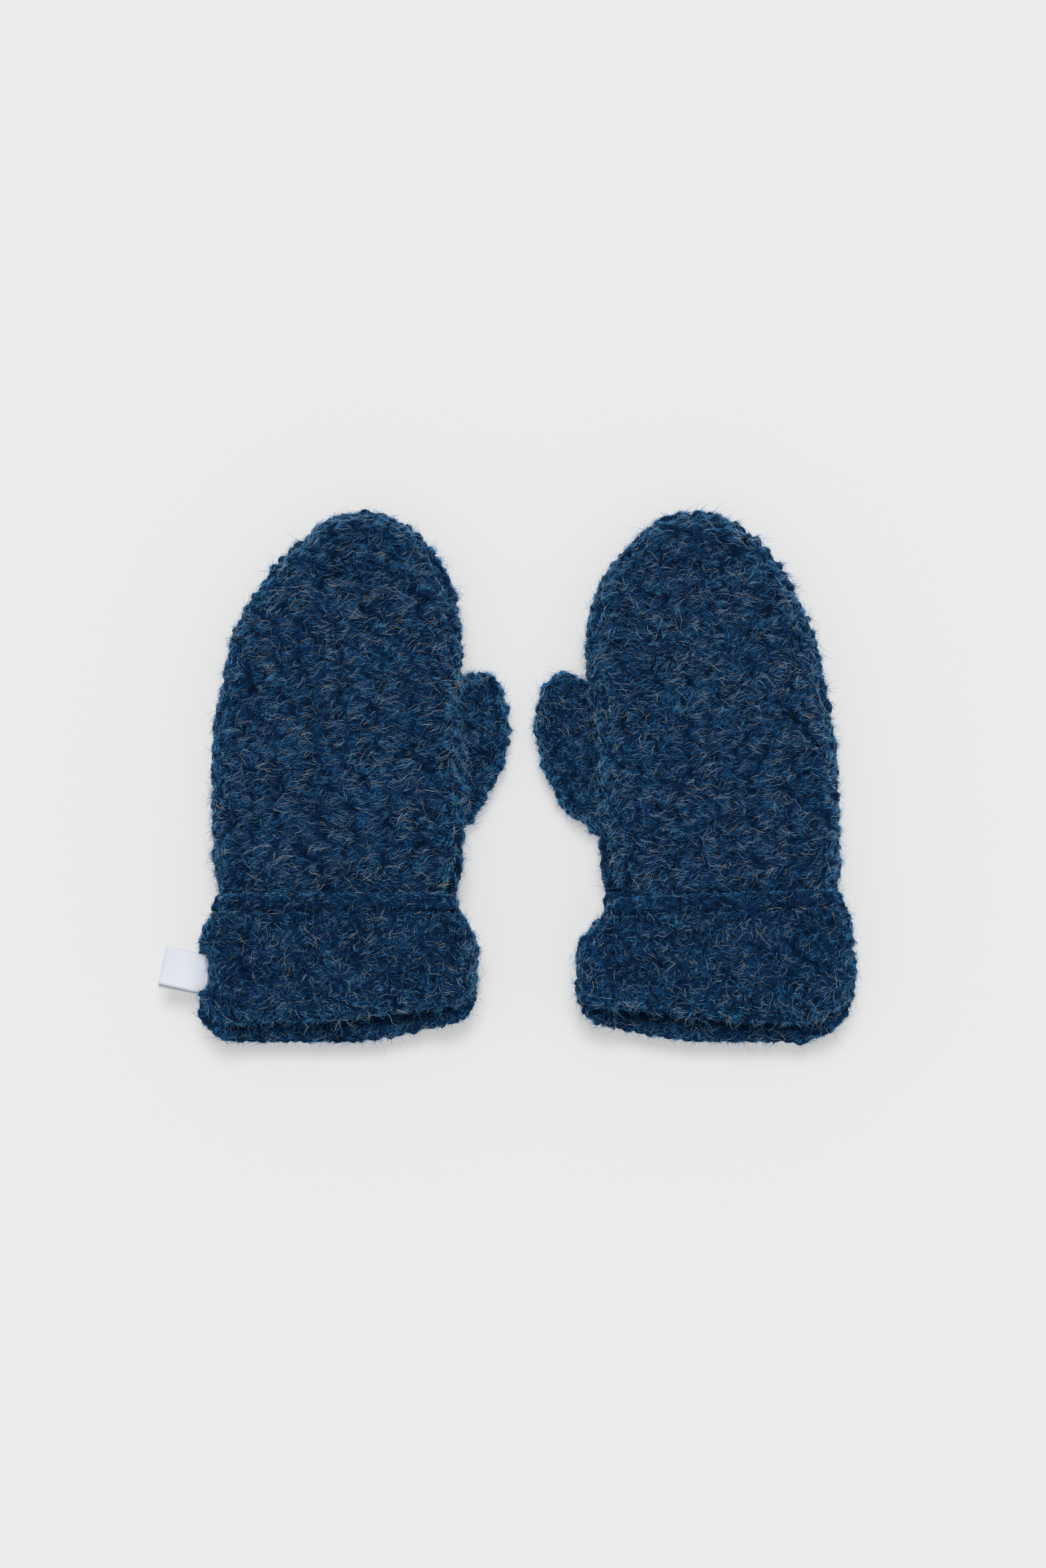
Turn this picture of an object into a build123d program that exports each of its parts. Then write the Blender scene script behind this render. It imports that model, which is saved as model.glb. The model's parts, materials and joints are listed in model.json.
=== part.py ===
"""Pair of pile-fabric mittens with a turned-up cuff, a flip-top fingertip cap and a separate thumb.

The pair lies flat, palms down. +Y points to the fingertips and +X to the right-hand mitten.
The left-hand mitten is modelled in local u (across), v (towards the fingertips) and z (up),
with u = 0 at the middle of its cuff. The right-hand mitten is its mirror image.
"""
import os

from build123d import *

# Driving dimensions, in millimetres
wall = 4.5                  # pile fabric, ground and pile together
body_height = 30.0          # a mitten lying flat, both panels and the hollow between them
seam_height = 15.0          # the perimeter seam joins the back and palm panels here
top_round = 14.0            # how far the back panel rolls over towards the seam
bottom_round = 12.0         # the same for the palm panel
running_gap = 0.4           # between soft pieces that move past each other

wrist_end = -54.0           # the hand panels stop here and the wrist sleeve begins
knuckle_line = 70.0         # the cap folds back here
flap_edge = 51.0            # hemmed lower edge of the cap on the palm side
finger_opening = 69.0       # hemmed edge of the palm panel, under the cap
palm_lap_start = 45.0       # the palm panel steps inwards here to pass under the cap
hem_width = 6.0
flip_axis_height = body_height + 3.0

thumb_centre = (61.0, 9.0)
thumb_length = 84.0
thumb_width = 43.0
thumb_height = 14.0
thumb_wall = 4.0
thumb_round = 6.5
thumb_lean = 17.0           # degrees away from the hand
thumb_split = -8.0          # along the thumb's own axis, where the gusset ends
thumb_hole = (47.0, -9.0)   # where the thumb opens into the palm
thumb_hole_radius = 9.0

sleeve_width = 108.5
sleeve_middle = 0.25
sleeve_bottom = 4.7
sleeve_top = 27.0
sleeve_wall = 4.0
sleeve_round = 10.0
sleeve_end = -113.0
flange_thickness = 3.0

cuff_height = 32.0
cuff_seam_height = 16.0
cuff_round = 11.0
cuff_top_edge = -58.0
cuff_hem_width = 8.0
cuff_back_end = -118.0      # folded edge of the cuff, back of the hand
cuff_palm_end = -125.0      # the palm side reaches a little lower

label_width = 18.0
label_length = 17.0
label_thickness = 0.5
label_loop = 2.4            # over both layers of the folded ribbon
label_middle = -93.0
label_root = -67.0

pair_spacing = 180.0        # between the middles of the two cuffs
wide = 400.0                # larger than any piece, for trimming boxes


# Outlines, seen from above

def hand_outline(inset):
    """Closed outline of hand and cap together, running past the wrist: tangent arcs between straight sides."""
    outer_side = -58.2 + inset
    past_wrist = -80.0
    side_straight_end = -25.7
    arcs = ((390.0, 12.2), (100.0, 43.9), (38.0, 81.3), (78.5, 42.6))
    with BuildLine() as outline:
        edge = Line((outer_side, past_wrist), (outer_side, side_straight_end))
        for radius, turn in arcs:
            edge = JernArc(start=edge @ 1, tangent=edge % 1, radius=radius - inset, arc_size=-turn)
        thumb_side_end = edge @ 1
        Line(thumb_side_end, (thumb_side_end.X, past_wrist))
        Line((thumb_side_end.X, past_wrist), (outer_side, past_wrist))
    return outline.line


def cuff_outline(end):
    """Closed outline of the cuff, flared below its hem and rounded at the folded edge."""
    corner = 16.0
    flare_end = -88.0
    left, right = -65.5, 66.5
    with BuildLine() as outline:
        Line((left, end + corner), (left, flare_end))
        Spline((left, flare_end), (-58.5, cuff_top_edge), tangents=((0, 1), (0.5, 1)))
        Line((-58.5, cuff_top_edge), (59.0, cuff_top_edge))
        Spline((59.0, cuff_top_edge), (right, flare_end), tangents=((0.5, -1), (0, -1)))
        Line((right, flare_end), (right, end + corner))
        RadiusArc((right, end + corner), (right - corner, end), corner)
        Line((right - corner, end), (left + corner, end))
        RadiusArc((left + corner, end), (left, end + corner), corner)
    return outline.line


# Solids that the panels are cut from

def pillow(inset):
    """The hand's rounded outer form, or the same form moved inwards all round by inset."""
    with BuildPart() as form:
        with BuildSketch(Plane.XY.offset(inset)):
            with BuildLine():
                add(hand_outline(inset))
            make_face()
        extrude(amount=body_height - 2 * inset)
        wrist_face = form.faces().sort_by(Axis.Y)[0]
        rims = form.edges().filter_by(Axis.Z, reverse=True) - wrist_face.edges()
        fillet(rims.group_by(Axis.Z)[-1], top_round - inset)
        rims = form.edges().filter_by(Axis.Z, reverse=True) - form.faces().sort_by(Axis.Y)[0].edges()
        fillet(rims.group_by(Axis.Z)[0], bottom_round - inset)
    return form.part


def thumb_form(inset, low, high, rounding):
    """An upright oval block in the thumb's outline, moved inwards by inset."""
    with BuildPart() as form:
        with BuildSketch(Plane.XY.offset(low)):
            with Locations(Location((*thumb_centre, 0), (0, 0, -thumb_lean))):
                Ellipse(thumb_width / 2 - inset, thumb_length / 2 - inset)
        extrude(amount=high - low)
        if rounding:
            fillet(form.edges(), rounding)
    return form.part


def sleeve_form(inset, start, end):
    """A straight bar in the wrist sleeve's section, moved inwards by inset."""
    middle_height = (sleeve_bottom + sleeve_top) / 2
    with BuildPart() as form:
        with BuildSketch(Plane.XZ.offset(-start)):
            with Locations((sleeve_middle, middle_height)):
                RectangleRounded(
                    sleeve_width - 2 * inset,
                    sleeve_top - sleeve_bottom - 2 * inset,
                    sleeve_round - inset,
                )
        extrude(amount=start - end)
    return form.part


def cuff_form(end):
    """The cuff's rounded outer form, down to the folded edge."""
    with BuildPart() as form:
        with BuildSketch():
            with BuildLine():
                add(cuff_outline(end))
            make_face()
        extrude(amount=cuff_height)
        rims = [
            edge
            for edge in form.edges().filter_by(Axis.Z, reverse=True)
            if edge.center().Y < cuff_top_edge - 0.01
        ]
        fillet(rims, cuff_round)
    return form.part


# Trimming helpers, used inside a part's own block

def keep_box(v_low, v_high, z_low, z_high, mode=Mode.INTERSECT):
    with Locations((0, (v_low + v_high) / 2, (z_low + z_high) / 2)):
        Box(wide, v_high - v_low, z_high - z_low, mode=mode)


def thumb_side(sign):
    """A large block on one side of the thumb's split, +1 towards the thumb tip."""
    split_plane = Plane(Location((*thumb_centre, 0), (0, 0, -thumb_lean)))
    with BuildPart() as side:
        with BuildSketch(split_plane):
            with Locations((0, thumb_split + sign * (wide / 2 + running_gap / 2))):
                Rectangle(wide, wide)
        extrude(amount=body_height, both=True)
    return side.part


outer = pillow(0)
hollow = pillow(wall)
lap_outer = pillow(wall + running_gap)
lap_hollow = pillow(wall + running_gap + thumb_wall)
recess = thumb_form(-0.6, -1, thumb_height + 0.6, 0)
recess_roof = thumb_form(-0.6 - wall, -1, thumb_height + 0.6 + wall, 0)

# Hand: back panel, palm panel and the hem of the finger opening

with BuildPart() as hand_back:
    add(outer)
    add(hollow, mode=Mode.SUBTRACT)
    keep_box(wrist_end, knuckle_line - 0.15, seam_height, body_height + 1)

with BuildPart() as palm_outer:
    add(outer)
    keep_box(wrist_end, flap_edge - running_gap, -1, seam_height)

with BuildPart() as palm_lap:
    add(lap_outer)
    keep_box(palm_lap_start, finger_opening, -1, seam_height)

with BuildPart() as palm_roof:
    add(hollow)
    add(recess_roof, mode=Mode.INTERSECT)
    keep_box(wrist_end, palm_lap_start, 0, body_height)

with BuildPart() as palm_hollow:
    add(hollow)
    keep_box(wrist_end - 1, palm_lap_start, -1, body_height)
    add(recess_roof, mode=Mode.SUBTRACT)

with BuildPart() as palm_lap_hollow:
    add(lap_hollow)
    keep_box(palm_lap_start, wide, -1, body_height)

with BuildPart() as hand_palm:
    add(palm_outer.part)
    add(palm_lap.part)
    add(palm_hollow.part, mode=Mode.SUBTRACT)
    add(palm_roof.part)
    add(palm_lap_hollow.part, mode=Mode.SUBTRACT)
    add(recess, mode=Mode.SUBTRACT)
    with BuildSketch():
        with Locations(thumb_hole):
            Circle(thumb_hole_radius)
    extrude(amount=body_height - wall, mode=Mode.SUBTRACT)
    keep_box(wrist_end, finger_opening - hem_width, -1, body_height)

with BuildPart() as palm_hem:
    add(lap_outer)
    add(lap_hollow, mode=Mode.SUBTRACT)
    keep_box(finger_opening - hem_width, finger_opening, -1, seam_height)

# Cap: back, palm flap and the flap's hem

with BuildPart() as cap_back:
    add(outer)
    add(hollow, mode=Mode.SUBTRACT)
    keep_box(knuckle_line + 0.15, wide, seam_height, body_height + 1)

with BuildPart() as cap_shell:
    add(outer)
    add(hollow, mode=Mode.SUBTRACT)
    keep_box(flap_edge, wide, -1, seam_height)
    keep_box(0, knuckle_line + 0.15, seam_height - running_gap, body_height, mode=Mode.SUBTRACT)

with BuildPart() as cap_palm:
    add(cap_shell.part)
    keep_box(flap_edge + hem_width, wide, -1, seam_height)

with BuildPart() as cap_hem:
    add(cap_shell.part)
    keep_box(flap_edge, flap_edge + hem_width, -1, seam_height)

# Thumb: gusset sewn to the palm, then the free part in two halves

with BuildPart() as thumb_shell:
    add(thumb_form(0, 0, thumb_height, thumb_round))
    add(
        thumb_form(thumb_wall, thumb_wall, thumb_height - thumb_wall, thumb_round - thumb_wall),
        mode=Mode.SUBTRACT,
    )

with BuildPart() as thumb_gusset:
    add(thumb_shell.part)
    add(thumb_side(-1), mode=Mode.INTERSECT)
    with BuildSketch(Plane.XY.offset(thumb_height / 2)):
        with Locations(thumb_hole):
            Circle(thumb_hole_radius)
    extrude(amount=thumb_height, mode=Mode.SUBTRACT)

with BuildPart() as thumb_back:
    add(thumb_shell.part)
    add(thumb_side(1), mode=Mode.INTERSECT)
    keep_box(-wide / 2, wide / 2, thumb_height / 2, thumb_height + 1)

with BuildPart() as thumb_palm:
    add(thumb_shell.part)
    add(thumb_side(1), mode=Mode.INTERSECT)
    keep_box(-wide / 2, wide / 2, -1, thumb_height / 2)

# Wrist sleeve: the inner layer inside the cuff, with a flange sewn to the hand panels

with BuildPart() as wrist_sleeve:
    add(outer)
    keep_box(wrist_end - flange_thickness, wrist_end, -1, body_height + 1)
    add(sleeve_form(0, wrist_end - flange_thickness / 2, sleeve_end))
    add(sleeve_form(sleeve_wall, wrist_end + 1, sleeve_end - 1), mode=Mode.SUBTRACT)

# Cuff: two panels joined at the side seams, folded up over the wrist sleeve, and its hem

cuff_hem_line = cuff_top_edge - cuff_hem_width
fold_depth = sleeve_end - running_gap
sleeve_clearance = sleeve_form(-running_gap, wrist_end, fold_depth)
mouth = sleeve_form(sleeve_wall, wrist_end, cuff_palm_end - 5)

with BuildPart() as cuff_back:
    add(cuff_form(cuff_back_end))
    add(sleeve_clearance, mode=Mode.SUBTRACT)
    add(mouth, mode=Mode.SUBTRACT)
    keep_box(-wide, cuff_hem_line, cuff_seam_height, cuff_height + 1)

with BuildPart() as cuff_palm:
    add(cuff_form(cuff_palm_end))
    add(sleeve_clearance, mode=Mode.SUBTRACT)
    add(mouth, mode=Mode.SUBTRACT)
    keep_box(-wide, cuff_hem_line, -1, cuff_seam_height)

with BuildPart() as cuff_hem:
    add(cuff_form(cuff_back_end))
    add(sleeve_clearance, mode=Mode.SUBTRACT)
    keep_box(cuff_hem_line, cuff_top_edge, -1, cuff_height + 1)

# Care label: a folded ribbon loop caught in the cuff's outer side seam

with BuildPart() as label:
    with BuildSketch(Plane.XZ.offset(-label_middle - label_width / 2)):
        with Locations((label_root - label_length / 2, cuff_seam_height)):
            Rectangle(label_length, label_loop)
        with Locations((label_root - label_length / 2 + label_thickness, cuff_seam_height)):
            Rectangle(label_length, label_loop - 2 * label_thickness, mode=Mode.SUBTRACT)
    extrude(amount=label_width)
    fillet(label.edges().filter_by(Axis.Y).group_by(Axis.X)[0], 1.1)

shapes = {
    "hand_back": hand_back.part,
    "hand_palm": hand_palm.part,
    "palm_hem": palm_hem.part,
    "cap_back": cap_back.part,
    "cap_palm": cap_palm.part,
    "cap_hem": cap_hem.part,
    "thumb_gusset": thumb_gusset.part,
    "thumb_back": thumb_back.part,
    "thumb_palm": thumb_palm.part,
    "wrist_sleeve": wrist_sleeve.part,
    "cuff_back": cuff_back.part,
    "cuff_palm": cuff_palm.part,
    "cuff_hem": cuff_hem.part,
}

# The pair, centred on its own box
cuff_reach = 65.5
left_place = (label_length - label_root - cuff_reach - pair_spacing) / 2
right_place = left_place + pair_spacing

os.makedirs("parts", exist_ok=True)


def place(name, shape, x):
    shape = Pos(x, 0, 0) * shape
    shape.label = name
    export_step(shape, f"parts/{name}.step")


for name, shape in shapes.items():
    place(f"left_{name}", shape, left_place)
    place(f"right_{name}", mirror(shape, about=Plane.YZ), right_place)
place("left_label", label.part, left_place)
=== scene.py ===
import json
import math

import bmesh
import bpy
import numpy as np
from mathutils import Matrix, Vector, kdtree, noise


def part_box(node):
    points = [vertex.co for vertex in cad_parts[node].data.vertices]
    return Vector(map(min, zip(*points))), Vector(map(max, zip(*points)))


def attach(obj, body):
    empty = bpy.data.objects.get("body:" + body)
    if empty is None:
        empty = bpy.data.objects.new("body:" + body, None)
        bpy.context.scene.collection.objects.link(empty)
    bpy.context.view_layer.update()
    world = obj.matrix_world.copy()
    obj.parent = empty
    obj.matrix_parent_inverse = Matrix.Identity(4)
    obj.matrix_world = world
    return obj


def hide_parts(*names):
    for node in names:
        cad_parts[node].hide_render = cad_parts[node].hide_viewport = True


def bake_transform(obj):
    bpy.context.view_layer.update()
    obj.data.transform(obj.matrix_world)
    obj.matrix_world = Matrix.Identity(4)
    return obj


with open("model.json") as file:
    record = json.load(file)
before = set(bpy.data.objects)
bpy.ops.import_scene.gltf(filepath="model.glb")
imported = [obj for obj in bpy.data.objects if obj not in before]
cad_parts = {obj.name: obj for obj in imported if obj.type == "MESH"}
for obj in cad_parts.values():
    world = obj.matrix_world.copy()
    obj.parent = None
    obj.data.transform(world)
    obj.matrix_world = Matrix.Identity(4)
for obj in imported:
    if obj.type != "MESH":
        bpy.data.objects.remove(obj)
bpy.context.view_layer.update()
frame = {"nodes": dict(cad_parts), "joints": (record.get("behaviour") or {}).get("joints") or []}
print("frame loaded:", len(frame["nodes"]), "nodes")

mm = 0.001
joints = {joint["name"]: joint for joint in frame["joints"]}
sides = {"left": 1.0, "right": -1.0}   # the sign of a mitten's own u, which runs towards its thumb


def placeOf(side):
    # the middle of that mitten's cuff, across the pair
    return joints[side + "_cap_flip"]["pos_m"][0]


knuckleLine = joints["left_cap_flip"]["pos_m"][1]
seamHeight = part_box("left_hand_back")[0].z
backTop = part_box("left_hand_back")[1].z
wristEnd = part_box("left_hand_back")[0].y
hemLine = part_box("left_cuff_hem")[0].y
labelMiddle = joints["left_label_flip"]["pos_m"][1]
thumbTube = {"u": 61 * mm, "v": 9 * mm, "z": 7 * mm, "lean": math.radians(17), "split": -8 * mm}


# Wool shades, as colours of the fibre itself, darkest first. The last two are pale kemp hairs.

woolShades = {
    "woolInk": (0.0020, 0.006, 0.016),
    "woolNavy": (0.0060, 0.027, 0.078),
    "woolBlue": (0.0120, 0.092, 0.285),
    "woolSteel": (0.1650, 0.330, 0.510),
    "woolBright": (0.0250, 0.215, 0.640),
    # woolSky is drawn mostly where painted light lightens the sides and the cuff's lip
    "woolSky": (0.0900, 0.390, 0.700),
    "kempSilver": (0.660, 0.740, 0.800),
    "kempSand": (0.760, 0.690, 0.520),
}
woolFinish = {"roughness": 0.8, "specular": 0.04, "sheen": 0.25, "sheenRoughness": 0.35,
              "sheenTint": (0.12, 0.34, 0.75)}


def newMaterial(name):
    material = bpy.data.materials.new(name)
    material.use_nodes = True
    nodes, links = material.node_tree.nodes, material.node_tree.links
    return material, nodes, links, nodes["Principled BSDF"]


def fibreMaterial(name, colour):
    # one dyed fibre has one colour: the heathering, and the painted shade and light of pickShades, come
    # from the mix of fibres
    material, _, _, shader = newMaterial(name)
    shader.inputs["Base Color"].default_value = (*colour, 1)
    shader.inputs["Roughness"].default_value = woolFinish["roughness"]
    shader.inputs["Specular IOR Level"].default_value = woolFinish["specular"]
    shader.inputs["Sheen Weight"].default_value = woolFinish["sheen"]
    shader.inputs["Sheen Roughness"].default_value = woolFinish["sheenRoughness"]
    shader.inputs["Sheen Tint"].default_value = (*woolFinish["sheenTint"], 1)
    material.diffuse_color = (*colour, 1)
    return material


groundCloth = {
    # the first colour is painted shade, for the ground between tufts
    "valleyShade": (0.0008, 0.004, 0.012),
    "dark": (0.002, 0.009, 0.026),
    "light": (0.006, 0.036, 0.105),
    "patchScale": 70.0,      # heathered patches, per metre
    "fleckScale": 900.0,     # matted fibre
    "fleckShare": 1.1,       # how much the matting counts beside the patches
    "darkUpTo": 0.1,
    "lightFrom": 0.9,
    "bumpStrength": 0.8,
    "bumpDepth": 0.0004,
    "roughness": 0.85,
    "specular": 0.03,
    "sheen": 0.3,
    "sheenRoughness": 0.4,
}


def groundMaterial(name, lift):
    # felted ground under the pile: painted shade between tufts, patchy blue on them, matted all over
    material, nodes, links, shader = newMaterial(name)
    place = nodes.new("ShaderNodeTexCoord")
    patches = nodes.new("ShaderNodeTexNoise")
    patches.inputs["Scale"].default_value = groundCloth["patchScale"]
    patches.inputs["Detail"].default_value = 3
    flecks = nodes.new("ShaderNodeTexNoise")
    flecks.inputs["Scale"].default_value = groundCloth["fleckScale"]
    flecks.inputs["Detail"].default_value = 5
    flecks.inputs["Distortion"].default_value = 1.2
    links.new(place.outputs["Object"], patches.inputs["Vector"])
    links.new(place.outputs["Object"], flecks.inputs["Vector"])
    both = nodes.new("ShaderNodeMath")
    both.operation = "MULTIPLY_ADD"
    both.inputs[1].default_value = groundCloth["fleckShare"]
    links.new(flecks.outputs["Fac"], both.inputs[0])
    links.new(patches.outputs["Fac"], both.inputs[2])
    blues = nodes.new("ShaderNodeValToRGB")
    blues.color_ramp.elements[0].position = groundCloth["darkUpTo"]
    blues.color_ramp.elements[0].color = (*[channel * lift for channel in groundCloth["dark"]], 1)
    blues.color_ramp.elements[1].position = groundCloth["lightFrom"]
    blues.color_ramp.elements[1].color = (*[channel * lift for channel in groundCloth["light"]], 1)
    spread = nodes.new("ShaderNodeMapRange")
    spread.inputs["From Min"].default_value = 0.7
    spread.inputs["From Max"].default_value = 1.45
    links.new(both.outputs[0], spread.inputs["Value"])
    links.new(spread.outputs["Result"], blues.inputs["Fac"])
    # painted shade: the ground darkens between tufts, by the tuft attribute
    tuft = nodes.new("ShaderNodeAttribute")
    tuft.attribute_name = "tuft"
    shade = nodes.new("ShaderNodeMix")
    shade.data_type = "RGBA"
    shade.inputs["A"].default_value = (*groundCloth["valleyShade"], 1)
    links.new(tuft.outputs["Fac"], shade.inputs["Factor"])
    links.new(blues.outputs["Color"], shade.inputs["B"])
    links.new(shade.outputs["Result"], shader.inputs["Base Color"])
    bump = nodes.new("ShaderNodeBump")
    bump.inputs["Strength"].default_value = groundCloth["bumpStrength"]
    bump.inputs["Distance"].default_value = groundCloth["bumpDepth"]
    links.new(flecks.outputs["Fac"], bump.inputs["Height"])
    links.new(bump.outputs["Normal"], shader.inputs["Normal"])
    shader.inputs["Roughness"].default_value = groundCloth["roughness"]
    shader.inputs["Specular IOR Level"].default_value = groundCloth["specular"]
    shader.inputs["Sheen Weight"].default_value = groundCloth["sheen"]
    shader.inputs["Sheen Roughness"].default_value = groundCloth["sheenRoughness"]
    shader.inputs["Sheen Tint"].default_value = (*woolFinish["sheenTint"], 1)
    return material


fibreMaterials = [fibreMaterial(name, colour) for name, colour in woolShades.items()]
pileGround = groundMaterial("pileGround", 1.0)
hemGround = groundMaterial("hemGround", 1.1)
print("wool materials ready")


# Cloth bodies: a merged copy of the CAD panels, remeshed into one felted shell

def clothShell(name, nodeNames, voxel, rounds, pull=None):
    shell = bmesh.new()
    for nodeName in nodeNames:
        panel = bmesh.new()
        panel.from_mesh(frame["nodes"][nodeName].data)
        bmesh.ops.remove_doubles(panel, verts=panel.verts, dist=1e-6)
        if pull and nodeName in pull:
            # the panel's cut edge is drawn over its neighbour's, so that the two felt together
            point, direction = pull[nodeName]
            edge = [v for v in panel.verts if abs((v.co - point).dot(direction.normalized())) < 0.05 * mm]
            bmesh.ops.translate(panel, verts=edge, vec=direction)
        copied = bpy.data.meshes.new("panel")
        panel.to_mesh(copied)
        panel.free()
        shell.from_mesh(copied)
        bpy.data.meshes.remove(copied)
    mesh = bpy.data.meshes.new(name)
    shell.to_mesh(mesh)
    shell.free()
    rough = bpy.data.objects.new(name + "Rough", mesh)
    bpy.context.scene.collection.objects.link(rough)
    felt = rough.modifiers.new("felt", "REMESH")
    felt.mode = "VOXEL"
    felt.voxel_size = voxel
    graph = bpy.context.evaluated_depsgraph_get()
    felted = bpy.data.meshes.new_from_object(rough.evaluated_get(graph))
    bpy.data.objects.remove(rough)
    cloth = bmesh.new()
    cloth.from_mesh(felted)
    for _ in range(rounds):
        bmesh.ops.smooth_vert(
            cloth, verts=cloth.verts, factor=0.5, use_axis_x=True, use_axis_y=True, use_axis_z=True
        )
    cloth.to_mesh(felted)
    cloth.free()
    felted.name = name
    felted.polygons.foreach_set("use_smooth", [True] * len(felted.polygons))
    piece = bpy.data.objects.new(name, felted)
    bpy.context.scene.collection.objects.link(piece)
    return piece


def pointsOf(mesh):
    points = np.empty(len(mesh.vertices) * 3)
    mesh.vertices.foreach_get("co", points)
    return points.reshape(-1, 3)


def normalsOf(mesh):
    normals = np.empty(len(mesh.vertices) * 3)
    mesh.vertex_normals.foreach_get("vector", normals)
    return normals.reshape(-1, 3)


def setPoints(mesh, points):
    mesh.vertices.foreach_set("co", points.astype(np.float32).ravel())
    mesh.update()


def ramp(value, start, end):
    # 0 before start, 1 after end, smooth between
    t = np.clip((value - start) / (end - start), 0, 1)
    return t * t * (3 - 2 * t)


def wander(points, size, seed):
    # smooth noise about -1 to 1 with bumps of that size, one value for each point
    offset = Vector((seed * 7.3, seed * 3.1, seed * 1.7))
    return np.array([noise.noise(Vector(p) / size + offset) for p in points])


# Scattering

def scatter(mesh, count, weigh, rng):
    # random points on the surface, as positions and normals
    # weigh gives the density from the faces' centres and normals
    mesh.calc_loop_triangles()
    corners = np.empty(len(mesh.loop_triangles) * 3, np.int32)
    mesh.loop_triangles.foreach_get("vertices", corners)
    corners = corners.reshape(-1, 3)
    points, normals = pointsOf(mesh), normalsOf(mesh)
    a, b, c = (points[corners[:, k]] for k in range(3))
    cross = np.cross(b - a, c - a)
    area = np.linalg.norm(cross, axis=1)
    facing = cross / np.maximum(area, 1e-15)[:, None]
    weight = area * weigh((a + b + c) / 3, facing)
    total = weight.sum()
    if total <= 0:
        return np.empty((0, 3)), np.empty((0, 3))
    chosen = rng.choice(len(weight), size=count, p=weight / total)
    s, t = rng.random(count), rng.random(count)
    over = s + t > 1
    s[over], t[over] = 1 - s[over], 1 - t[over]
    share = np.stack([1 - s - t, s, t], axis=1)
    trio = corners[chosen]
    place = sum(points[trio[:, k]] * share[:, k : k + 1] for k in range(3))
    normal = sum(normals[trio[:, k]] * share[:, k : k + 1] for k in range(3))
    return place, normal / np.linalg.norm(normal, axis=1)[:, None]


def thinOut(points, gap):
    # drops points until none is nearer than gap to another
    tree = kdtree.KDTree(len(points))
    for index, p in enumerate(points):
        tree.insert(p, index)
    tree.balance()
    kept, dropped = [], np.zeros(len(points), bool)
    for index, p in enumerate(points):
        if not dropped[index]:
            kept.append(index)
            for _, other, _ in tree.find_range(p, gap):
                dropped[other] = True
    return np.array(kept)


class Tufts:
    # the curls of the pile: each has a middle and a lean that its fibres share
    # stretch is how much longer a tuft is across the hand than along it
    def __init__(self, mesh, gap, stretch, rng):
        area = sum(p.area for p in mesh.polygons)
        count = int(area / gap**2 / stretch * 3)
        places, normals = scatter(mesh, count, lambda centre, facing: np.ones(len(centre)), rng)
        self.squeeze = np.array([1 / stretch, 1, 1])
        kept = thinOut(places * self.squeeze, gap)
        self.gap = gap
        self.middles = places[kept]
        self.leans = rng.normal(size=(len(kept), 3))
        self.tones = rng.normal(size=len(kept))
        self.tree = kdtree.KDTree(len(kept))
        for index, p in enumerate(self.middles * self.squeeze):
            self.tree.insert(p, index)
        self.tree.balance()

    def near(self, points):
        # nearest tuft, distance to it, and how much further the next one is
        index = np.empty(len(points), int)
        distance, margin = np.empty(len(points)), np.empty(len(points))
        for row, p in enumerate(points * self.squeeze):
            first, second = self.tree.find_n(p, 2)
            index[row] = first[1]
            distance[row], margin[row] = first[2], second[2] - first[2]
        return index, distance, margin


def raiseTufts(piece, tufts, heightAt):
    # lifts each tuft into a rounded curl and keeps how high each point stands, for the painted shade
    # between tufts
    mesh = piece.data
    points, normals = pointsOf(mesh), normalsOf(mesh)
    index, distance, margin = tufts.near(points)
    dome = np.clip(1 - (distance / (0.95 * tufts.gap)) ** 2, 0, 1)
    groove = ramp(margin, 0, 0.55 * tufts.gap)
    tuft = 0.6 * groove + 0.4 * dome
    height = heightAt(points, normals)
    proud = 0.12 * np.clip(tufts.tones[index], -1.5, 1.5) * groove    # no two tufts stand equally high
    points = points + normals * (height * (tuft - 0.62 + proud))[:, None]
    setPoints(mesh, points)
    attribute = mesh.attributes.new("tuft", "FLOAT", "POINT")
    attribute.data.foreach_set("value", np.clip(0.15 + tuft, 0, 1).astype(np.float32))


# Fibres

def hairTemplate(parts):
    # a three-sided tapered hair along z, from 0 to 1, closed at both ends
    hair = bmesh.new()
    bmesh.ops.create_cone(
        hair, cap_ends=True, cap_tris=False, segments=3, radius1=1, radius2=0, depth=1,
        matrix=Matrix.Translation((0, 0, 0.5)),
    )
    bmesh.ops.remove_doubles(hair, verts=hair.verts, dist=1e-5)
    slopes = [e for e in hair.edges if abs(e.verts[0].co.z - e.verts[1].co.z) > 0.5]
    if parts > 1:
        bmesh.ops.subdivide_edges(hair, edges=slopes, cuts=parts - 1)
    for v in hair.verts:
        if v.co.z < 0.99:
            thick = 1 - 0.75 * v.co.z**2
            flat = Vector((v.co.x, v.co.y)).normalized() * thick
            v.co.x, v.co.y = flat
    bmesh.ops.triangulate(hair, faces=hair.faces)
    bmesh.ops.recalc_face_normals(hair, faces=hair.faces)
    template = bpy.data.meshes.new("hair")
    hair.to_mesh(template)
    hair.free()
    shape = pointsOf(template)
    faces = np.array([list(p.vertices) for p in template.polygons])
    bpy.data.meshes.remove(template)
    return shape, faces


templates = {parts: hairTemplate(parts) for parts in (1, 2, 3)}


def unit(vectors):
    return vectors / np.maximum(np.linalg.norm(vectors, axis=1), 1e-12)[:, None]


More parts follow.
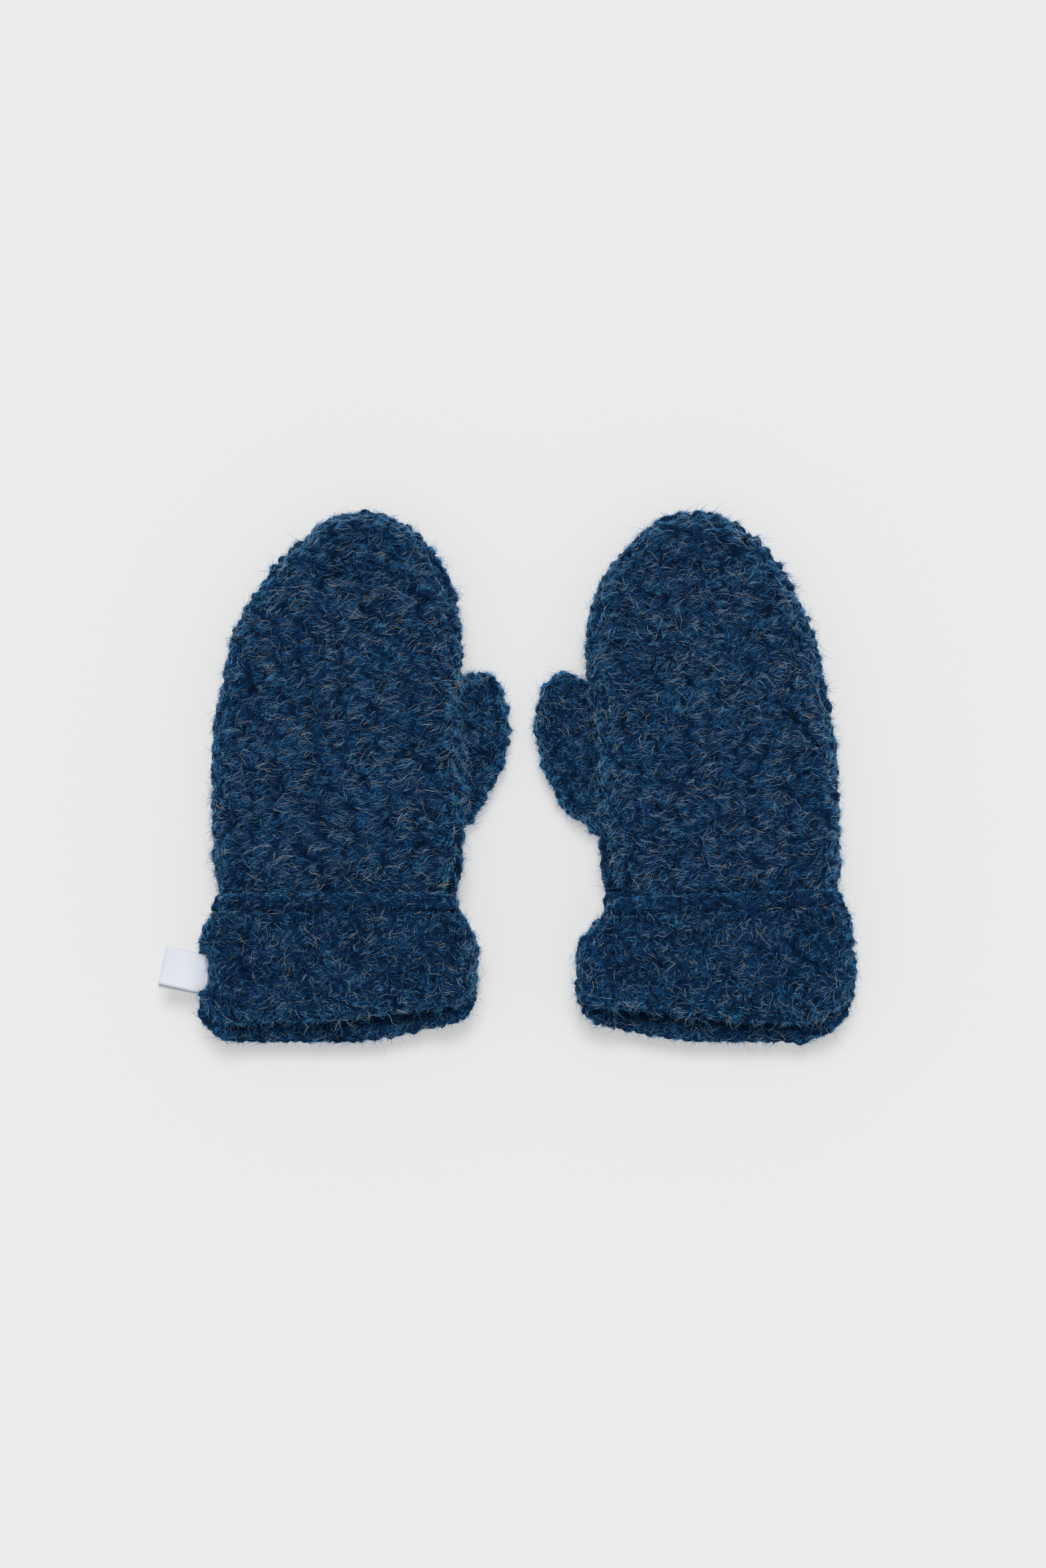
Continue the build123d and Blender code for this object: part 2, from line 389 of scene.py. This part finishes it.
def growHairs(name, roots, normals, leans, look, reach, shades, rng):
    # one mesh of curved hairs: each rises from its root, leans over and curls back to the cloth
    shape, faces = templates[look["parts"]]
    count = len(roots)
    length = reach * look["length"] * np.clip(rng.lognormal(0, look["spread"], count), 0.4, 1.6)
    thick = look["thickness"] / 2 * rng.uniform(0.75, 1.25, count)
    tangent = unit(leans - normals * (leans * normals).sum(1)[:, None])
    across = np.cross(normals, tangent)
    rise = look["rise"] * rng.uniform(0.4, 1.5, count)
    start = unit(normals * rise[:, None] + tangent)
    curl = rng.normal(0, look["curl"], count)
    bend = across * curl[:, None] - normals * (look["droop"] * rng.uniform(0.4, 1.2, count))[:, None]
    sideways = unit(np.cross(start, normals))
    upward = np.cross(sideways, start)
    along = shape[:, 2][None, :, None]
    turn = rng.uniform(0, 2 * math.pi, count)[:, None, None]
    squiggle = look["wave"] * (np.sin(2.2 * math.pi * along + turn) - np.sin(turn))
    line = (roots - normals * look["sink"])[:, None, :] + length[:, None, None] * (
        along * start[:, None, :] + along**2 * bend[:, None, :] + squiggle * across[:, None, :]
    )
    flatX, flatY = shape[:, 0][None, :, None], shape[:, 1][None, :, None]
    ring = flatX * sideways[:, None, :] + flatY * upward[:, None, :]
    points = (line + thick[:, None, None] * ring).reshape(-1, 3)
    points[:, 2] = np.maximum(points[:, 2], pileFloor)
    corners = (faces[None] + (np.arange(count) * len(shape))[:, None, None]).reshape(-1, 3)
    mesh = bpy.data.meshes.new(name)
    mesh.vertices.add(len(points))
    mesh.vertices.foreach_set("co", points.astype(np.float32).ravel())
    mesh.loops.add(corners.size)
    mesh.loops.foreach_set("vertex_index", corners.astype(np.int32).ravel())
    mesh.polygons.add(len(corners))
    mesh.polygons.foreach_set("loop_start", np.arange(0, corners.size, 3, dtype=np.int32))
    for material in fibreMaterials:
        mesh.materials.append(material)
    mesh.polygons.foreach_set("material_index", np.repeat(shades, len(faces)).astype(np.int32))
    mesh.polygons.foreach_set("use_smooth", np.ones(len(corners), bool))
    mesh.update(calc_edges=True)
    piece = bpy.data.objects.new(name, mesh)
    bpy.context.scene.collection.objects.link(piece)
    return piece


pileFloor = 0.1 * mm
pileLooks = {
    "under": {"parts": 1, "length": 2.3 * mm, "spread": 0.25, "thickness": 0.30 * mm, "rise": 0.8,
              "curl": 0.0, "droop": 0.0, "wave": 0.0, "sink": 0.4 * mm},
    "top": {"parts": 2, "length": 3.0 * mm, "spread": 0.3, "thickness": 0.16 * mm, "rise": 0.6,
            "curl": 0.5, "droop": 0.3, "wave": 0.0, "sink": 0.2 * mm},
    "curl": {"parts": 3, "length": 4.2 * mm, "spread": 0.3, "thickness": 0.14 * mm, "rise": 0.55,
             "curl": 0.7, "droop": 0.35, "wave": 0.07, "sink": 0.1 * mm},
    "kemp": {"parts": 3, "length": 6.0 * mm, "spread": 0.35, "thickness": 0.135 * mm, "rise": 0.4,
             "curl": 0.45, "droop": 0.2, "wave": 0.09, "sink": 0.0},
}
shadeMix = {
    "under": [0.52, 0.30, 0.13, 0.01, 0.03, 0.01, 0, 0],
    "top": [0.20, 0.215, 0.25, 0.15, 0.18, 0.03, 0.01, 0.003],
    "curl": [0.11, 0.18, 0.23, 0.20, 0.20, 0.05, 0.02, 0.006],
    "kemp": [0, 0, 0.02, 0.46, 0.14, 0.10, 0.21, 0.07],
}
heatherAndPaintedLight = {
    "patch": 0.10, "patchSize": 12 * mm,    # small patches of a lighter or darker mix
    "broad": 0.12, "broadSize": 38 * mm,    # and wide ones
    "tuft": 0.06,
    # painted shade in the valleys between tufts
    "valleyShade": 0.20,
    "rimLight": 0.75,                            # painted light on the sides, where light comes through the pile
    # painted light on the cuff's lower lip, which lies in the cuff's shade
    "lip": 0.7, "lipFrom": -114 * mm, "lipTo": -121 * mm,
}
lastWool = 5      # the shades after this one are kemp


def pickShades(layer, roots, normals, tone, valleyShade, shadow, seed, rng):
    # shades by rank: patches and tufts lighter or darker at random, painted shade in the valleys and from
    # the darkening passed in, painted light on the sides and the cuff's lip
    steps = np.cumsum(shadeMix[layer]) / np.sum(shadeMix[layer])
    draw, shift = rng.random(len(roots)), 0.0
    if layer != "kemp":
        # painted light: fibres whose cloth faces sideways draw lighter shades
        rimLight = np.hypot(normals[:, 0], normals[:, 1]) ** 1.2
        lip = ramp(roots[:, 1], heatherAndPaintedLight["lipFrom"], heatherAndPaintedLight["lipTo"])    # painted light: the cuff's lower lip draws shades as light as the sides
        rimLight = np.maximum(rimLight, heatherAndPaintedLight["lip"] * lip)
        shift = (
            heatherAndPaintedLight["patch"] * wander(roots, heatherAndPaintedLight["patchSize"], seed)
            + heatherAndPaintedLight["broad"] * wander(roots, heatherAndPaintedLight["broadSize"], seed + 5)
            + heatherAndPaintedLight["tuft"] * tone - heatherAndPaintedLight["valleyShade"] * valleyShade + heatherAndPaintedLight["rimLight"] * rimLight - shadow
        )
    lightest = np.maximum(draw, steps[lastWool] - 0.001)    # only a fibre that drew kemp is ever kemp
    return np.searchsorted(steps, np.clip(draw + shift, 0, np.minimum(lightest, 0.9999)))


# which way a fibre leans: across the hand, with its curl, out from the curl's middle, or any way
pileLean = {
    "slope": 0.22,
    "waves": 0.5,
    "waveSize": 20 * mm,
    "curlShare": 0.6,
    "outShare": 0.45,
    "stray": 0.35,
    "valleyWidth": 0.3,
}


def growPile(name, piece, tufts, look, weigh, darken, rng, seed):
    # pile for one cloth body: returns the layers' pieces
    grown = []
    for layer, count in look["layers"].items():
        roots, normals = scatter(piece.data, count, weigh, rng)
        index, _, margin = tufts.near(roots)
        slope = pileLean["slope"] + pileLean["waves"] * wander(roots, pileLean["waveSize"], seed + 9)
        flow = np.stack([np.ones(len(roots)), slope, np.zeros(len(roots))], axis=1)
        flow *= np.sign(tufts.tones[index])[:, None]
        leans = (
            look["flow"] * flow
            + pileLean["curlShare"] * unit(tufts.leans[index])
            + pileLean["outShare"] * (roots - tufts.middles[index]) / tufts.gap
            + pileLean["stray"] * rng.normal(size=roots.shape)
        )
        # where painted shade falls, in the valleys between tufts
        valleyShade = margin < pileLean["valleyWidth"] * tufts.gap
        shades = pickShades(layer, roots, normals, tufts.tones[index], valleyShade, darken(roots), seed, rng)
        grown.append(growHairs(
            name + layer.capitalize(), roots, normals, leans, pileLooks[layer], look["reach"], shades, rng
        ))
    return grown


# The mittens

# nodes are the CAD panels that one felted body is made of; layers are the fibres grown on it
# gap is the distance between curls, stretch how much wider they are across the hand

clothLooks = {
    "back": {
        "nodes": ["hand_back", "cap_back"],
        "voxel": 1.4 * mm, "gap": 3.1 * mm, "stretch": 1.6, "height": 1.9 * mm, "flow": 1.5, "reach": 1.0,
        "layers": {"under": 13600, "top": 15600, "curl": 5200, "kemp": 5600},
    },
    "palm": {
        "nodes": ["hand_palm", "palm_hem"],
        "voxel": 2.0 * mm, "gap": 3.4 * mm, "stretch": 1.5, "height": 1.3 * mm, "flow": 1.0, "reach": 1.0,
        "layers": {"under": 4400, "top": 3600, "kemp": 600},
    },
    "flap": {
        "nodes": ["cap_palm", "cap_hem"],
        "voxel": 1.7 * mm, "gap": 3.4 * mm, "stretch": 1.5, "height": 1.2 * mm, "flow": 1.0, "reach": 1.0,
        "layers": {"under": 3000, "top": 2300, "kemp": 350},
    },
    "thumb": {
        "nodes": ["thumb_gusset", "thumb_back", "thumb_palm"],
        "voxel": 1.5 * mm, "gap": 3.0 * mm, "stretch": 1.2, "height": 1.7 * mm, "flow": 0.5, "reach": 1.0,
        "layers": {"under": 4200, "top": 3600, "curl": 1100, "kemp": 650},
    },
    "sleeve": {
        "nodes": ["wrist_sleeve"],
        "voxel": 1.9 * mm, "gap": 3.4 * mm, "stretch": 1.0, "height": 0.8 * mm, "flow": 0.4, "reach": 0.8,
        "layers": {"under": 1600, "top": 2000},
    },
    "cuff": {
        "nodes": ["cuff_back", "cuff_palm"],
        "voxel": 1.4 * mm, "gap": 3.2 * mm, "stretch": 1.15, "height": 1.9 * mm, "flow": 0.5, "reach": 1.0,
        "layers": {"under": 7200, "top": 8000, "curl": 2800, "kemp": 2500},
    },
    "cuffHem": {
        "nodes": ["cuff_hem"],
        "voxel": 1.25 * mm, "gap": 2.4 * mm, "stretch": 1.5, "height": 0.5 * mm, "flow": 0.9, "reach": 0.7,
        "layers": {"under": 3500, "top": 2600, "kemp": 220},
    },
}
pileDepth = 1.2 * mm       # the ground lies this far under the CAD's surface, and the pile fills the rest
clumps = {"size": 5.0 * mm, "depth": 2.2 * mm}
hemGroove = {"depth": 0.5 * mm, "width": 1.2 * mm}
sagging = {"size": 30 * mm, "depth": 1.3 * mm}
# how much darker the shades are drawn: hand is a slightly darker mix over the whole back, wrist and hem are
# painted shade
shading = {"hand": 0.035, "wrist": 0.45, "hem": 0.6, "hemWidth": 1.7 * mm}
# how the real pair settled when it was laid down, in a mitten's own u
settled = {
    "left": {
        "sway": -1.9 * mm,        # the hand's middle, towards the thumb
        "tipLean": 0.0,           # the fingertips
        "draw": 1.4 * mm,         # the hand's thumb side by the wrist, inwards
        "drawFrom": -12 * mm,     # where along the hand that starts
        "outerDraw": 1.6 * mm,    # the other side by the wrist, inwards
        "backDraw": 0.0,          # the back panel alone, inwards
        "thumb": -1.9 * mm,       # the whole thumb
        "thumbFoot": 0.3 * mm,    # the thumb's lower end, inwards
        "hemInner": 1.7 * mm,     # the hem, inwards on the thumb side
        "hemOuter": 4.4 * mm,     # and on the other side
        "cuffInner": 1.3 * mm,    # the cuff, outwards on the thumb side
        "cuffOuter": 2.4 * mm,    # and inwards on the other side
        "hemTilt": 0.0,           # the hem's slope
        "corner": 1.8 * mm,       # the outer corner of the cuff's mouth, drawn up
    },
    "right": {
        "sway": 0.0,
        "tipLean": -4.5 * mm,
        "draw": 6.0 * mm,
        "drawFrom": 50 * mm,
        "outerDraw": 0.0,
        "backDraw": 7.0 * mm,
        "thumb": 1.2 * mm,
        "thumbFoot": 3.3 * mm,
        "hemInner": 7.0 * mm,
        "hemOuter": 1.7 * mm,
        "cuffInner": 0.0,
        "cuffOuter": 1.6 * mm,
        "hemTilt": 2.3 * mm,
        "corner": 8.0 * mm,
    },
}


def settle(side, part, points):
    # moves the even CAD outline to how the cloth really lies
    fit, sign, place = settled[side], sides[side], placeOf(side)
    u, v, z = sign * (points[:, 0] - place), points[:, 1].copy(), points[:, 2].copy()
    upper = ramp(z, 9 * mm, 19 * mm)
    inner, outer = ramp(u, 18 * mm, 60 * mm), ramp(-u, 18 * mm, 60 * mm)
    if part in ("back", "palm", "flap"):
        shift = fit["sway"] * ramp(v, -15 * mm, 15 * mm) * (1 - 0.8 * ramp(v, 62 * mm, 95 * mm))
        shift += fit["tipLean"] * ramp(v, 78 * mm, 122 * mm)
        shift -= fit["draw"] * inner * ramp(v, fit["drawFrom"], fit["drawFrom"] - 36 * mm)
        shift += fit["outerDraw"] * outer * ramp(v, -15 * mm, -46 * mm)
        share = upper if part == "back" else 0.6 * upper
        shift -= fit["backDraw"] * inner * ramp(v, -16 * mm, -46 * mm) * share
        u = u + shift
        tuck = ramp(v, wristEnd + 11 * mm, wristEnd)    # the wrist end goes in under the cuff's hem
        u = u * (1 - 0.05 * tuck)
        v = v - 9 * mm * tuck
        z = seamHeight + (z - seamHeight) * (1 - 0.25 * tuck)
    if part == "thumb":
        u = u + fit["thumb"] - mm * ramp(v, 12 * mm, -10 * mm)
        u = u - fit["thumbFoot"] * ramp(v, -12 * mm, -27 * mm)    # its foot slopes in to the wrist
    if part == "sleeve":
        flange = ramp(v, wristEnd - 5 * mm, wristEnd - 2 * mm)    # sewn in under the hand panels' ends
        u = u * (1 - 0.14 * flange)
        z = seamHeight + (z - seamHeight) * (1 - 0.34 * flange)
    if part in ("cuff", "cuffHem"):
        band = ramp(v, hemLine - 16 * mm, hemLine + 2 * mm)
        shift = -fit["hemInner"] * inner * band + fit["hemOuter"] * outer * band
        shift += (fit["cuffInner"] * inner + fit["cuffOuter"] * outer) * (1 - band)
        v = v - fit["hemTilt"] * u / (60 * mm) * ramp(v, hemLine - 20 * mm, hemLine)
        u = u + shift
        if side == "left":    # the pile parts round the label's root in the side seam
            parting = ramp(v, labelMiddle - 12 * mm, labelMiddle - 7 * mm)
            parting *= ramp(v, labelMiddle + 12 * mm, labelMiddle + 7 * mm)
            u = u + 5 * mm * parting * ramp(-u, 48 * mm, 60 * mm) * ramp(z, 10 * mm, 16 * mm)
        mouth = ramp(v, -94 * mm, -119 * mm)
        lip = (6 * mm * ramp(u, -10 * mm, 60 * mm) - 1.3 * mm * ramp(-u, 0, 45 * mm)) * upper
        lip += (8 * mm * ramp(u, 5 * mm, 64 * mm) - 2.6 * mm) * (1 - upper)
        lip += fit["corner"] * ramp(-u, 38 * mm, 64 * mm)
        v = v + mouth * lip
        z = z * (1 + 0.5 * mouth * (1 - upper))    # the lower lip rolls up a little
    return np.stack([place + sign * u, v, z], axis=1)


def outwardFrom(side, part):
    # how far each face looks away from the middle of its own tube
    place, sign = placeOf(side), sides[side]

    def look(centre, facing):
        middle = np.zeros_like(centre)
        if part == "thumb":
            middle[:, 1] = np.clip(centre[:, 1], -20 * mm, 25 * mm)
            middle[:, 0] = place + sign * (thumbTube["u"] + (middle[:, 1] - thumbTube["v"]) * 0.3)
            middle[:, 2] = thumbTube["z"]
        else:
            middle[:, 0] = place + np.clip(centre[:, 0] - place, -20 * mm, 20 * mm)
            middle[:, 1] = np.clip(centre[:, 1], -105 * mm, 80 * mm)
            middle[:, 2] = seamHeight
        return ((centre - middle) * facing).sum(1)

    return look


smoothing = 3      # rounds, after the felting


def makeMitten(side, seed):
    rng = np.random.default_rng(seed)
    place, sign = placeOf(side), sides[side]
    hand, cap, thumb, cuff = (side + "_" + body for body in ("hand", "cap", "thumb", "cuff"))
    thumbAxis = Vector((sign * math.sin(thumbTube["lean"]), math.cos(thumbTube["lean"]), 0))
    thumbMiddle = Vector((place + sign * thumbTube["u"], thumbTube["v"], thumbTube["z"]))
    split = thumbMiddle + thumbAxis * thumbTube["split"]
    hemPull = (Vector((0, hemLine, 0)), Vector((0, -1.2 * mm, 0)))
    capPull = (Vector((0, knuckleLine + 0.15 * mm, 0)), Vector((0, -0.8 * mm, 0)))
    thumbPull = (split + thumbAxis * 0.2 * mm, -thumbAxis * mm)
    pulls = {
        "cuffHem": {cuff + "_hem": hemPull},
        "back": {cap + "_back": capPull},
        "thumb": {thumb + half: thumbPull for half in ("_back", "_palm")},
    }
    made = {}
    for part, look in clothLooks.items():
        nodeNames = [side + "_" + n for n in look["nodes"]]
        piece = clothShell(side + "_" + part, nodeNames, look["voxel"], smoothing, pulls.get(part))
        outward = outwardFrom(side, part)
        mesh = piece.data
        points, normals = pointsOf(mesh), normalsOf(mesh)
        out = (outward(points, normals) > 0).astype(float)
        sink = pileDepth - clumps["depth"] * wander(points, clumps["size"], seed)
        if part in ("cuff", "cuffHem"):
            sink += hemGroove["depth"] * np.exp(-(((points[:, 1] - hemLine) / hemGroove["width"]) ** 2))
        points = points - normals * (sink * out)[:, None]
        if part in ("back", "cuff", "cuffHem"):
            sag = wander(points, sagging["size"], seed) * sagging["depth"]
            points[:, 2] += sag * ramp(points[:, 2], seamHeight, backTop)
        setPoints(mesh, settle(side, part, points))
        tufts = Tufts(mesh, look["gap"], look["stretch"], rng)

        def heightAt(points, normals, outward=outward, look=look):
            return look["height"] * np.where(outward(points, normals) > 0, 1.0, 0.35)

        raiseTufts(piece, tufts, heightAt)
        points = pointsOf(mesh)
        points[:, 2] = np.maximum(points[:, 2], pileFloor)
        setPoints(mesh, points)
        mesh.materials.append(hemGround if part == "cuffHem" else pileGround)
        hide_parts(*nodeNames)

        def weigh(centre, facing, outward=outward, part=part):
            out = outward(centre, facing) > 0
            weight = np.where(out, 1.0, 0.0)
            weight *= np.where(facing[:, 2] < -0.3, 0.35 if part in ("back", "cuff", "thumb") else 1.0, 1.0)
            if part == "back":    # the inside shows by the knuckles when the cap is folded back
                folded = ~out & (np.abs(centre[:, 1] - knuckleLine) < 24 * mm)
                weight = np.where(folded, 0.25, weight)
            if part == "cuff":
                weight = np.where(~out & (centre[:, 1] < -100 * mm), 0.9, weight)
            if part == "palm":    # its side wall shows beside the back at the wrist
                beside = (sign * (centre[:, 0] - place) > 40 * mm) & (centre[:, 1] < 0)
                beside &= centre[:, 2] > 7 * mm
                weight = np.where(beside, 2.0, weight)
            if part == "sleeve":
                weight = np.where(out & (facing[:, 2] > 0), 1.0, 0.15)
            if part == "thumb":
                tucked = sign * (centre[:, 0] - place) < 48 * mm
                weight = np.where(tucked & (facing[:, 2] > 0), 0.0, weight)
            return weight

        def darken(roots, part=part):
            # painted shade along the hem's stitched groove and where the wrist goes in under the hem, and a
            # slightly darker mix over the whole back
            if part == "back":
                wrist = ramp(roots[:, 1], wristEnd - 1 * mm, wristEnd - 5 * mm)
                return shading["hand"] + shading["wrist"] * wrist
            if part not in ("cuff", "cuffHem"):
                return 0.0
            level = roots[:, 1] + settled[side]["hemTilt"] * sign * (roots[:, 0] - place) / (60 * mm)
            return shading["hem"] * np.exp(-(((level - hemLine) / shading["hemWidth"]) ** 2))

        made[part] = [piece, *growPile(side + "_" + part, piece, tufts, look, weigh, darken, rng, seed)]
    for part, body in (("palm", hand), ("flap", cap), ("sleeve", hand), ("cuff", cuff), ("cuffHem", cuff)):
        for piece in made[part]:
            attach(piece, body)
    # the cap's palm side and hem go with the cap above; the back, which runs on over the knuckles into the
    # cap, and the thumb keep their place, with no body of their own
    for piece in made["back"]:
        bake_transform(piece)
    for piece in made["thumb"]:
        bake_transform(piece)
    counts = {part: sum(len(f.vertices) - 2 for p in made[part] for f in p.data.polygons) for part in made}
    print(side, "mitten made, triangles:", sum(counts.values()), counts)


makeMitten("left", 11)
makeMitten("right", 23)


# The label: a folded ribbon of satin in the cuff's seam

label = {
    "width": 18 * mm,
    "visible": 13 * mm,      # past the seam's hinge line
    "tucked": 10 * mm,
    "loop": 2.2 * mm,
    "thickness": 0.3 * mm,
    "lean": -11.0,           # degrees
    "bow": 1.2 * mm,
    "fan": 0.8 * mm,         # the two layers don't lie quite square on each other
    "cupping": 0.5 * mm,
    "drop": 0.9 * mm,
    "hinge": 3.0 * mm,       # the bend at the seam reaches this far to each side
}
satin = {
    # a painted shaded copy and a painted bright copy of the satin's one white
    "shaded": (0.69, 0.72, 0.80),
    "bright": (0.81, 0.83, 0.89),
    "threadAndSheenScale": 900,
    "distortion": 0.6,
    "bumpStrength": 0.25,
    "bumpDepth": 0.0001,
    "roughness": 0.38,
    "specular": 0.45,
    "sheen": 0.3,
}


def satinMaterial():
    material, nodes, links, shader = newMaterial("labelSatin")
    place = nodes.new("ShaderNodeTexCoord")
    threadsAndSheen = nodes.new("ShaderNodeTexWave")
    threadsAndSheen.wave_type = "BANDS"
    threadsAndSheen.bands_direction = "Y"
    threadsAndSheen.inputs["Scale"].default_value = satin["threadAndSheenScale"]
    threadsAndSheen.inputs["Distortion"].default_value = satin["distortion"]
    threadsAndSheen.inputs["Detail"].default_value = 2
    links.new(place.outputs["Object"], threadsAndSheen.inputs["Vector"])
    # the bands paint shade and sheen on the satin's white; the same bands give the weave's bump
    whites = nodes.new("ShaderNodeValToRGB")
    whites.color_ramp.elements[0].color = (*satin["shaded"], 1)
    whites.color_ramp.elements[1].color = (*satin["bright"], 1)
    links.new(threadsAndSheen.outputs["Fac"], whites.inputs["Fac"])
    links.new(whites.outputs["Color"], shader.inputs["Base Color"])
    bump = nodes.new("ShaderNodeBump")
    bump.inputs["Strength"].default_value = satin["bumpStrength"]
    bump.inputs["Distance"].default_value = satin["bumpDepth"]
    links.new(threadsAndSheen.outputs["Fac"], bump.inputs["Height"])
    links.new(bump.outputs["Normal"], shader.inputs["Normal"])
    shader.inputs["Roughness"].default_value = satin["roughness"]
    shader.inputs["Specular IOR Level"].default_value = satin["specular"]
    shader.inputs["Sheen Weight"].default_value = satin["sheen"]
    return material


def makeLabel():
    root = Vector(joints["left_label_flip"]["pos_m"]) - Vector((0, label["drop"], 0))
    strip = bmesh.new()
    bmesh.ops.create_grid(strip, x_segments=44, y_segments=14, size=0.5)
    reach, halfLoop = label["visible"] + label["tucked"], label["loop"] / 2
    straight = reach - halfLoop
    total = 2 * straight + math.pi * halfLoop
    for v in strip.verts:
        run = (v.co.x + 0.5) * total    # along the ribbon: out, round the loop and back
        if run < straight:
            x, z = run, halfLoop
        elif run < total - straight:
            turn = (run - straight) / halfLoop
            x, z = straight + halfLoop * math.sin(turn), halfLoop * math.cos(turn)
        else:
            x, z = total - run, -halfLoop
        y = v.co.y * label["width"] + (label["fan"] if z > 0 else -label["fan"]) * x / reach
        z += label["bow"] * math.sin(min(x / reach, 1) * math.pi) * (1 if z > 0 else 0.7)
        z += label["cupping"] * (2 * v.co.y) ** 2 * (x / reach) ** 2
        v.co = (label["tucked"] - x, y, z)
    lean = Matrix.Rotation(math.radians(label["lean"]), 3, "Z")
    bmesh.ops.rotate(strip, verts=strip.verts, cent=(0, 0, 0), matrix=lean)
    bmesh.ops.translate(strip, verts=strip.verts, vec=root)
    bmesh.ops.recalc_face_normals(strip, faces=strip.faces)
    mesh = bpy.data.meshes.new("left_labelRibbon")
    strip.to_mesh(mesh)
    strip.free()
    mesh.polygons.foreach_set("use_smooth", [True] * len(mesh.polygons))
    ribbon = bpy.data.objects.new("left_labelRibbon", mesh)
    bpy.context.scene.collection.objects.link(ribbon)
    weave = ribbon.modifiers.new("thickness", "SOLIDIFY")
    weave.thickness = label["thickness"]
    graph = bpy.context.evaluated_depsgraph_get()
    ribbon.data = bpy.data.meshes.new_from_object(ribbon.evaluated_get(graph))
    ribbon.modifiers.clear()
    bpy.data.meshes.remove(mesh)
    ribbon.data.materials.append(satinMaterial())
    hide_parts("left_label")
    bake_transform(ribbon)


makeLabel()
print("label made")


# Studio

studio = {"white": 0.838, "tableGlow": 0.5, "sunShare": 0.5, "sunTilt": 24.0, "sunSize": 28.0,
          "distance": 1.5, "elevation": 83.0, "lens": 73.2, "target": (0.0080, -0.0054, 0.015)}


def makeStudio():
    scene = bpy.context.scene
    scene.view_settings.view_transform = "Standard"
    scene.view_settings.look = "None"
    world = bpy.data.worlds.new("studio")
    scene.world = world
    world.use_nodes = True
    back = world.node_tree.nodes["Background"]
    back.inputs["Color"].default_value = (1, 1, 1, 1)
    back.inputs["Strength"].default_value = 1 - studio["sunShare"]
    sun = bpy.data.lights.new("key", "SUN")
    sun.angle = math.radians(studio["sunSize"])
    tilt = math.radians(studio["sunTilt"])
    sun.energy = studio["sunShare"] * math.pi / math.cos(tilt)
    key = bpy.data.objects.new("key", sun)
    key.rotation_euler = (-tilt, 0, 0)
    scene.collection.objects.link(key)
    table = bmesh.new()
    bmesh.ops.create_grid(table, x_segments=1, y_segments=1, size=4)
    mesh = bpy.data.meshes.new("table")
    table.to_mesh(mesh)
    table.free()
    material, _, _, shader = newMaterial("paleTable")
    plain = studio["white"] * (1 - studio["tableGlow"])    # the rest glows, as a lit backdrop does
    shader.inputs["Base Color"].default_value = (plain, plain, plain, 1)
    shader.inputs["Emission Color"].default_value = (1, 1, 1, 1)
    shader.inputs["Emission Strength"].default_value = studio["white"] * studio["tableGlow"]
    shader.inputs["Roughness"].default_value = 1
    shader.inputs["Specular IOR Level"].default_value = 0
    mesh.materials.append(material)
    floor = bpy.data.objects.new("table", mesh)
    scene.collection.objects.link(floor)
    lens = bpy.data.cameras.new("camera")
    lens.lens = studio["lens"]
    camera = bpy.data.objects.new("camera", lens)
    angle = math.radians(studio["elevation"])
    towards = Vector((0, -math.cos(angle), math.sin(angle)))
    camera.location = Vector(studio["target"]) + towards * studio["distance"]
    camera.rotation_euler = (math.pi / 2 - angle, 0, 0)
    scene.collection.objects.link(camera)
    scene.camera = camera


makeStudio()
print("studio ready")
